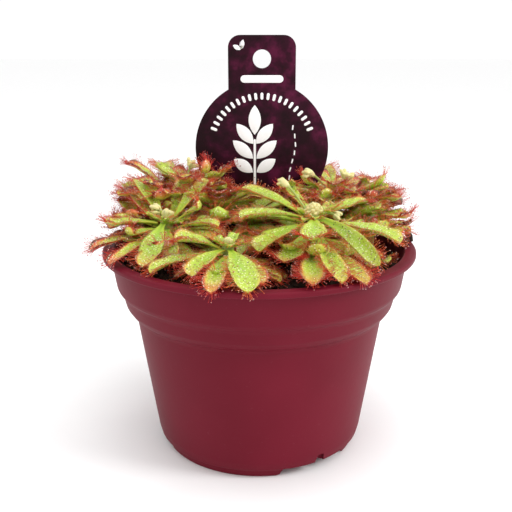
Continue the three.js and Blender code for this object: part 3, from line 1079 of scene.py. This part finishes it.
class HairPlan:
    """Places, directions and sizes of the glandular hairs."""

    def __init__(self, seed):
        self.rng = random.Random(seed)
        self.places, self.leans, self.lengths, self.flushes, self.sizes = [], [], [], [], []

    def plant(self, place, lean, length, flush, size):
        rough = Vector(self.rng.uniform(-1, 1) for _ in range(3)) * 0.22
        self.places.append(place * MM)
        self.leans.append(tuple((lean.normalized() + rough).normalized()))
        self.lengths.append(length * MM)
        self.flushes.append(min(1.0, max(0.0, flush)))
        self.sizes.append(size)

    def cover(self, blade, age, seed, spacing, margin_spacing):
        """Short hairs over the blade's face and long ones round its margin."""
        rng = self.rng
        rows = max(3, int(blade.length * 0.78 / spacing))
        for i in range(rows):
            t = 0.2 + 0.78 * (i + rng.random()) / rows
            half = blade.half(t)
            count = max(1, round(2 * half * 0.86 / spacing))
            for j in range(count):
                s = (2 * (j + rng.random()) / count - 1) * 0.88
                point, up, side = leaf_point(blade, t, s, seed)
                lean = up + side * (s * 0.9) + blade_forward(blade, t) * 0.25
                length = lerp(0.45, 1.15, s * s) + 0.35 * smooth(t, 0.5, 1.0)
                flush = age * 0.45 + 0.4 * s * s + rng.uniform(-0.35, 0.1)
                self.plant(point, lean, length * rng.uniform(0.75, 1.2), flush, rng.uniform(0.45, 0.8))
        steps = max(4, int(blade.length * 0.7 / margin_spacing))
        for edge in (-1, 1):
            for i in range(steps):
                t = 0.3 + 0.66 * (i + rng.random()) / steps
                point, up, side = leaf_point(blade, t, edge * 0.97, seed)
                lean = side * edge + up * rng.uniform(-0.1, 0.7) + blade_forward(blade, t) * 0.35
                self.long_hair(point, lean, age, t)
        for i in range(max(5, int(blade.width * 1.9 / margin_spacing))):
            s = rng.uniform(-0.9, 0.9)
            t = 0.965 - 0.09 * s * s
            point, up, side = leaf_point(blade, t, s, seed)
            lean = blade_forward(blade, t) * 1.1 + side * s + up * rng.uniform(-0.2, 0.6)
            self.long_hair(point, lean, age, 1.0)

    def long_hair(self, point, lean, age, t):
        length = lerp(1.2, 2.8, smooth(t, 0.3, 0.95)) * self.rng.uniform(0.7, 1.15)
        flush = 0.36 + 0.7 * age + 0.2 * t + self.rng.uniform(-0.12, 0.12)
        self.plant(point, lean, length, flush, self.rng.uniform(0.75, 1.15))

    def fuzz(self, rosette):
        """Short pale down over a crown's knot."""
        head = crown_head(rosette)
        middle = crown_top(rosette) - UP * head
        count = round(60 * head)
        for i in range(count):
            tilt = math.degrees(math.asin(1 - 1.4 * (i + 0.5) / count))
            axis = heading(GOLDEN_ANGLE * i, tilt)
            length = self.rng.uniform(0.3, 0.7)
            self.plant(middle + axis * head * 0.92, axis, length, self.rng.uniform(0.0, 0.3), 0.5)

    def points(self, share=1.0):
        """The hairs as points, or a random share of them."""
        kept = [i for i in range(len(self.places)) if self.rng.random() < share]
        lists = {"lean": self.leans, "length": self.lengths, "flush": self.flushes, "size": self.sizes}
        chosen = {name: [values[i] for i in kept] for name, values in lists.items()}
        return point_mesh([self.places[i] for i in kept], **chosen)


def blade_forward(blade, t):
    return (blade.at(min(1.0, t + 0.03))[0] - blade.at(t - 0.03)[0]).normalized()


def leaned(recipe):
    return recipe.node(
        "FunctionNodeAlignRotationToVector", {"axis": "Z"}, {"Vector": recipe.named("lean", "FLOAT_VECTOR")}
    )


def scale_vector(recipe, x, y, z):
    return recipe.node("ShaderNodeCombineXYZ", None, {"X": x, "Y": y, "Z": z})


def times(recipe, a, b):
    return recipe.node("ShaderNodeMath", {"operation": "MULTIPLY"}, {0: a, 1: b})


def at_tips(recipe):
    """The points moved to the end of their hairs."""
    offset = recipe.node(
        "ShaderNodeVectorMath",
        {"operation": "SCALE"},
        {0: recipe.named("lean", "FLOAT_VECTOR"), "Scale": recipe.named("length")},
    )
    return recipe.node(
        "GeometryNodeSetPosition", None, {"Geometry": recipe.source.outputs[0], "Offset": offset}
    )


def hair_recipe(settings, material):
    """A tapered stalk and a gland head for each point."""
    recipe = Recipe("hairs")
    stalk_radius = recipe.setting("Stalk radius", "NodeSocketFloat", settings.stalk)
    head_radius = recipe.setting("Head radius", "NodeSocketFloat", settings.head)
    cone = recipe.node(
        "GeometryNodeMeshCone",
        {"fill_type": "NONE"},
        {"Vertices": 3, "Radius Top": 0.55, "Radius Bottom": 1.0, "Depth": 1.0},
    )
    width = times(recipe, stalk_radius, recipe.named("size"))
    stalks = recipe.node(
        "GeometryNodeInstanceOnPoints",
        None,
        {
            "Points": recipe.source.outputs[0],
            "Instance": cone,
            "Rotation": leaned(recipe),
            "Scale": scale_vector(recipe, width, width, recipe.named("length")),
        },
    )
    ball = recipe.node("GeometryNodeMeshUVSphere", None, {"Radius": 1.0, "Segments": 4, "Rings": 2})
    size = times(recipe, head_radius, recipe.named("size"))
    heads = recipe.node(
        "GeometryNodeInstanceOnPoints",
        None,
        {
            "Points": at_tips(recipe),
            "Instance": ball,
            "Rotation": leaned(recipe),
            "Scale": scale_vector(recipe, size, size, times(recipe, size, 1.4)),
        },
    )
    both = recipe.tree.nodes.new("GeometryNodeJoinGeometry")
    recipe.tree.links.new(stalks, both.inputs[0])
    recipe.tree.links.new(heads, both.inputs[0])
    recipe.finish(both.outputs[0], material)
    return recipe


def dew_recipe(settings, material):
    """A clear drop round each gland head."""
    recipe = Recipe("dew")
    radius = recipe.setting("Drop radius", "NodeSocketFloat", settings.drop)
    ball = recipe.node("GeometryNodeMeshIcoSphere", None, {"Radius": 1.0, "Subdivisions": 1})
    size = times(recipe, radius, recipe.named("size"))
    drops = recipe.node(
        "GeometryNodeInstanceOnPoints",
        None,
        {"Points": at_tips(recipe), "Instance": ball, "Scale": scale_vector(recipe, size, size, size)},
    )
    recipe.finish(drops, material)
    return recipe


class SUNDEW_OT_hairs(bpy.types.Operator):
    """Cover the leaves with glandular hairs and their drops"""

    bl_idname = "sundew.hairs"
    bl_label = "Make hairs and dew"

    def execute(self, context):
        settings = context.scene.sundew_hair
        skin = hair_skin(settings)
        clear = dew_drop()
        plans = {rosette: HairPlan(seed) for seed, rosette in enumerate(ROSETTES)}
        for rosette, _, blade, age, seed in cad_leaves():
            plans[rosette].cover(blade, age, seed, 0.66, 0.3)
        for rosette in ROSETTES:
            plans[rosette].fuzz(rosette)
            for blade, age, seed in young_leaves(rosette):
                plans[rosette].cover(blade, age, seed, 1.0, 0.5)
        for number, (name, leaves) in enumerate(old_leaves()):
            plan = HairPlan(40 + number)
            for blade, age, seed in leaves:
                plan.cover(blade, age, seed, 1.4, 0.6)
            plans[f"old_{name}"] = plan
        hairs = hair_recipe(settings, skin)
        dew = dew_recipe(settings, clear)
        for name, plan in plans.items():
            new_piece(f"hairs_{name}", hairs.grow(plan.points()), skin)
            new_piece(f"dew_{name}", dew.grow(plan.points(settings.dewy)), clear)
        return {"FINISHED"}


# ---------------------------------------------------------------- crowns and flower stalks


def swept(shell, along_layer, stations):
    """A closed round body through (centre, side, up, radius, along) stations."""
    sides = 12
    rings = []
    for centre, side, up, radius, along in stations:
        ring = []
        for k in range(sides):
            a = 2 * math.pi * k / sides
            vertex = shell.verts.new((centre + (side * math.cos(a) + up * math.sin(a)) * radius) * MM)
            vertex[along_layer] = along
            ring.append(vertex)
        rings.append(ring)
    loft(shell, rings)


def knob(shell, along_layer, centre, axis, length, radius, hook, along):
    """A plump unopened leaf, bent over like a fern's crozier."""
    side = axis.cross(UP if abs(axis.z) < 0.9 else Vector((1, 0, 0))).normalized()
    stations = []
    spot = Vector(centre)
    steps = 9
    for i in range(steps + 1):
        t = i / steps
        forward = axis * math.cos(hook * t) + side.cross(axis) * math.sin(hook * t)
        up = forward.cross(side)
        girth = radius * math.sqrt(max(0.02, 1 - (2 * t - 1) ** 4)) * (0.75 + 0.35 * t)
        stations.append((spot.copy(), side, up, girth, along + 0.2 * t))
        spot += forward * (length / steps)
    swept(shell, along_layer, stations)


def crown_mesh(name, rng):
    """A stem with a ball of tightly rolled young leaves on it."""
    top = crown_top(name)
    head = crown_head(name)
    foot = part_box(f"crown_{name}")[0][2] / MM
    shell = bmesh.new()
    along = shell.verts.layers.float.new("along")
    middle = top - UP * head
    stem = []
    for i in range(13):
        t = i / 12
        radius = lerp(1.7, 1.3 + 0.2 * head, t) * (1 + 0.15 * noise.noise(Vector((t * 9, foot, 0))))
        spot = Vector((top.x, top.y, lerp(foot, middle.z, t)))
        stem.append((spot, Vector((1, 0, 0)), Vector((0, 1, 0)), radius, 0.05 + 0.2 * t))
    swept(shell, along, stem)
    big = head > 2.4
    if big:
        ball = []
        for i in range(15):
            a = math.pi * (0.04 + 0.92 * i / 14)
            spot = middle - UP * math.cos(a) * head * 0.8
            radius = head * 0.8 * math.sin(a)
            ball.append((spot, Vector((1, 0, 0)), Vector((0, 1, 0)), radius, 0.3 + 0.04 * i))
        swept(shell, along, ball)
    count = 30 if big else 7
    for i in range(count):
        share = (i + 0.5) / count
        azimuth = GOLDEN_ANGLE * i + rng.uniform(-8, 8)
        tilt = math.degrees(math.asin(1 - 1.35 * share)) if big else lerp(78, 20, share)
        axis = heading(azimuth, tilt)
        start = middle + axis * head * (0.62 if big else 0.1)
        size = head * (rng.uniform(0.17, 0.25) if big else rng.uniform(0.3, 0.4))
        reach = head * (rng.uniform(0.42, 0.55) if big else rng.uniform(1.0, 1.3))
        hook = rng.uniform(1.2, 2.2)
        knob(shell, along, start, axis, reach, size, hook, 0.72 - 0.3 * share)
    bmesh.ops.recalc_face_normals(shell, faces=shell.faces)
    return mesh_of(shell)


def stalk_mesh(node, rng):
    """A flower stalk along the CAD stalk's rings, with the sepals of its bud."""
    middle = sum((Vector(c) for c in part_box(node)), Vector()) / 2 / MM
    crown = min((crown_top(name) for name in ROSETTES), key=lambda top: (top - middle).length)
    rings = rings_of(node, crown)
    centres = [sum(ring, Vector()) / len(ring) for ring in rings]
    shell = bmesh.new()
    along = shell.verts.layers.float.new("along")
    last = len(centres) - 1
    thick = max((v - centres[-2]).length for v in rings[-2])
    thin = max((v - centres[2]).length for v in rings[2])
    blade = Blade(centres, [Vector((1, 0, 0))] * (last + 1), [UP] * (last + 1), thick)
    stations = []
    for i in range(21):
        t = i / 20
        centre = blade.at(t)[0]
        forward = blade_forward(blade, t)
        side = forward.cross(Vector((0.3, 0.9, 0.1))).normalized()
        swell = smooth(t, 0.55, 0.8)
        radius = lerp(thin * 0.8, thick, swell) * math.sqrt(max(0.03, 1 - max(0, (t - 0.78) / 0.22) ** 2))
        stations.append((centre, side, side.cross(forward), radius, 0.25 + 0.6 * swell))
    swept(shell, along, stations)
    tip = blade.at(0.9)[0]
    axis = blade_forward(blade, 0.9)
    across = axis.cross(Vector((0.2, 1, 0.3))).normalized()
    for k in range(5):
        a = 2 * math.pi * k / 5 + rng.uniform(-0.2, 0.2)
        out = across * math.cos(a) + axis.cross(across) * math.sin(a)
        start = tip - axis * thick * 1.3 + out * thick * 0.45
        sepal = (axis * 1.5 + out * 0.5).normalized()
        knob(shell, along, start, sepal, thick * 2.1, thick * 0.42, -0.7, 0.7)
    bmesh.ops.recalc_face_normals(shell, faces=shell.faces)
    return mesh_of(shell)


class SUNDEW_OT_buds(bpy.types.Operator):
    """Make the crowns' knots of young leaves and the flower stalks"""

    bl_idname = "sundew.buds"
    bl_label = "Make crowns and stalks"

    def execute(self, context):
        skin = bud_skin(context.scene.sundew_bud)
        rng = random.Random(5)
        for name in ROSETTES:
            new_piece(f"crown_knot_{name}", crown_mesh(name, rng), skin, [f"crown_{name}"])
        for node in [n for n in NODES if n.startswith("flower_stalk")]:
            new_piece(f"bud_{node}", stalk_mesh(node, rng), skin, [node])
        return {"FINISHED"}


# ---------------------------------------------------------------- label

def arc(centre, radius, start, end, steps):
    """Points on an arc between two angles in degrees."""
    return [
        (centre[0] + radius * math.cos(math.radians(lerp(start, end, i / steps))),
         centre[1] + radius * math.sin(math.radians(lerp(start, end, i / steps))))
        for i in range(steps + 1)
    ]


def card_outline():
    """The card's edge, from its middle: across and up, in millimetres."""
    z = LABEL_MIDDLE.z
    tab_angle = math.degrees(math.acos(TAB_HALF / HEAD_RADIUS))
    stake_angle = math.degrees(math.acos(STAKE["half"] / HEAD_RADIUS))
    inner, shoulder = TAB_HALF - TAB_CORNER, TAB_TOP - TAB_CORNER - z
    return (
        [(0, STAKE["tip"] - z), (STAKE["half"], STAKE["shoulder"] - z)]
        + arc((0, 0), HEAD_RADIUS, -stake_angle, tab_angle, 72)
        + arc((inner, shoulder), TAB_CORNER, 0, 90, 12)
        + arc((-inner, shoulder), TAB_CORNER, 90, 180, 12)
        + arc((0, 0), HEAD_RADIUS, 180 - tab_angle, 180 + stake_angle, 72)
        + [(-STAKE["half"], STAKE["shoulder"] - z)]
    )


def flat_mesh(outlines, thickness, bevel, front):
    """Cut flat shapes with soft edges and stand them up facing the front."""
    curve = bpy.data.curves.new("cut", "CURVE")
    curve.dimensions = "2D"
    curve.fill_mode = "BOTH"
    curve.extrude = (thickness / 2 - bevel) * MM
    curve.bevel_depth = bevel * MM
    curve.bevel_resolution = 1
    for outline in outlines:
        spline = curve.splines.new("POLY")
        spline.points.add(len(outline) - 1)
        for point, (x, z) in zip(spline.points, outline):
            point.co = (x * MM, z * MM, 0, 1)
        spline.use_cyclic_u = True
    holder = bpy.data.objects.new("cut", curve)
    bpy.context.scene.collection.objects.link(holder)
    graph = bpy.context.evaluated_depsgraph_get()
    mesh = bpy.data.meshes.new_from_object(holder.evaluated_get(graph))
    bpy.data.objects.remove(holder)
    for vertex in mesh.vertices:
        x, z, depth = vertex.co
        vertex.co = Vector((LABEL_MIDDLE.x * MM + x, front * MM - depth, LABEL_MIDDLE.z * MM + z))
    shell = bmesh.new()
    shell.from_mesh(mesh)
    bmesh.ops.remove_doubles(shell, verts=shell.verts, dist=0.002 * MM)
    bmesh.ops.recalc_face_normals(shell, faces=shell.faces)
    shell.to_mesh(mesh)
    shell.free()
    return mesh


def bar(x, z, length, width, angle):
    """A short bar with round ends."""
    a = math.radians(angle)
    half = (length - width) / 2
    ends = arc((half, 0), width / 2, -90, 90, 6) + arc((-half, 0), width / 2, 90, 270, 6)
    return [(x + u * math.cos(a) - v * math.sin(a), z + u * math.sin(a) + v * math.cos(a)) for u, v in ends]


def leaflet(x, z, length, width, angle):
    """A pointed leaf outline that starts at (x, z)."""
    a = math.radians(angle)
    top = [(length * i / 10, width / 2 * math.sin(math.pi * i / 10) ** 0.8) for i in range(11)]
    loop = top + [(u, -v) for u, v in reversed(top[1:-1])]
    return [(x + u * math.cos(a) - v * math.sin(a), z + u * math.sin(a) + v * math.cos(a)) for u, v in loop]


def printed_marks():
    """Plain marks: a ring of bars, a sprig of leaflets, a rule and a dotted line."""
    marks = []
    for i in range(21):
        angle = 158 - 136 * i / 20
        a = math.radians(angle)
        marks.append(bar(15.9 * math.cos(a), 15.9 * math.sin(a), 2.1, 0.85, angle))
    for i in range(7):
        marks.append(bar(9.5 + 0.9 * math.sin(i * 0.8), 6.4 - 2.6 * i, 1.5, 0.4, 84 + 12 * math.sin(i)))
    for base, length, turn in ((-7.5, 7.2, 55), (-3.2, 8.4, 48), (1.4, 8.0, 40)):
        for angle in (90 - turn, 90 + turn):
            marks.append(leaflet(-2.2 + 0.7 * math.cos(math.radians(angle)), base, length, 3.6, angle))
    marks.append(leaflet(-2.2, 4.2, 9.0, 3.8, 90))
    marks.append(bar(-2.2, -4.4, 14.5, 0.7, 90))
    marks.append(bar(0, 21.0, 13.0, 2.2, 0))
    marks.append(leaflet(-6.4, 29.6, 3.0, 1.5, 75))
    marks.append(leaflet(-6.4, 29.6, 2.6, 1.3, 150))
    return marks


class SUNDEW_OT_label(bpy.types.Operator):
    """Cut the plant label and print plain marks on it"""

    bl_idname = "sundew.label"
    bl_label = "Make label"

    def execute(self, context):
        settings = context.scene.sundew_label
        hole = arc((0, HOLE["height"] - LABEL_MIDDLE.z), HOLE["radius"], 0, 352.5, 47)
        card = flat_mesh([card_outline(), hole], 0.5, 0.06, LABEL_MIDDLE.y)
        new_piece("label_card", card, card_face(settings), ["plant_label"])
        proud = settings.proud / MM
        front = LABEL_MIDDLE.y - 0.25 - proud / 2 + 0.01
        marks = flat_mesh(printed_marks(), proud + 0.02, 0.008, front)
        new_piece("label_marks", marks, card_print(settings))
        return {"FINISHED"}


# ---------------------------------------------------------------- stage


class SUNDEW_OT_stage(bpy.types.Operator):
    """Lay a pale floor and set the lights and the camera"""

    bl_idname = "sundew.stage"
    bl_label = "Make stage"

    def execute(self, context):
        settings = context.scene.sundew_stage
        shell = bmesh.new()
        bmesh.ops.create_grid(shell, x_segments=8, y_segments=8, size=3.0)
        floor = bpy.data.objects.new("floor", mesh_of(shell))
        floor.data.materials.append(floor_paper(settings))
        context.scene.collection.objects.link(floor)
        self.light("key", (0.55, -0.2, 0.45), 0.25, 2.2)
        self.light("fill", (-0.6, -0.45, 0.4), 0.6, 0.3)
        self.light("top", (0.0, -0.1, 0.8), 0.4, 1.4)
        world = bpy.data.worlds.new("studio")
        world.use_nodes = True
        world.node_tree.nodes["Background"].inputs["Color"].default_value = tint(1, 1, 1)
        world.node_tree.nodes["Background"].inputs["Strength"].default_value = 1.03
        context.scene.world = world
        context.scene.view_settings.view_transform = "Standard"
        lens = bpy.data.cameras.new("camera")
        lens.lens = 54.9
        lens.sensor_width = 36.0
        lens.clip_start = 0.01
        lens.shift_x = -0.0064
        camera = bpy.data.objects.new("camera", lens)
        camera.location = (0, -settings.camera_distance, settings.camera_height)
        camera.rotation_euler = (math.pi / 2 - settings.camera_pitch, 0, 0)
        context.scene.collection.objects.link(camera)
        context.scene.camera = camera
        return {"FINISHED"}

    @staticmethod
    def light(name, place, size, power):
        lamp = bpy.data.lights.new(name, "AREA")
        lamp.shape = "DISK"
        lamp.size = size
        lamp.energy = power
        holder = bpy.data.objects.new(name, lamp)
        holder.location = place
        aim = Vector((0, 0, 0.06)) - Vector(place)
        holder.rotation_euler = aim.to_track_quat("-Z", "Y").to_euler()
        bpy.context.scene.collection.objects.link(holder)


# ---------------------------------------------------------------- add-on


OPERATORS = (
    SUNDEW_OT_pot,
    SUNDEW_OT_peat,
    SUNDEW_OT_label,
    SUNDEW_OT_leaves,
    SUNDEW_OT_hairs,
    SUNDEW_OT_buds,
    SUNDEW_OT_stage,
)


class SUNDEW_PT_panel(bpy.types.Panel):
    """Lists the sundew's pieces and their settings"""

    bl_idname = "SUNDEW_PT_panel"
    bl_label = "Potted sundew"
    bl_space_type = "VIEW_3D"
    bl_region_type = "UI"
    bl_category = "Sundew"

    def draw(self, context):
        for operator in OPERATORS:
            self.layout.operator(operator.bl_idname)
        for key, group in SETTINGS.items():
            box = self.layout.box()
            box.label(text=key.replace("_", " "))
            for name in group.__annotations__:
                box.prop(getattr(context.scene, key), name)


CLASSES = (*SETTINGS.values(), *OPERATORS, SUNDEW_PT_panel)


def register():
    for item in CLASSES:
        bpy.utils.register_class(item)
    for key, group in SETTINGS.items():
        setattr(bpy.types.Scene, key, bpy.props.PointerProperty(type=group))


def unregister():
    for key in SETTINGS:
        delattr(bpy.types.Scene, key)
    for item in reversed(CLASSES):
        bpy.utils.unregister_class(item)


def main():
    register()
    for operator in OPERATORS:
        getattr(bpy.ops.sundew, operator.bl_idname.split(".")[1])()


if __name__ == "__main__":
    main()
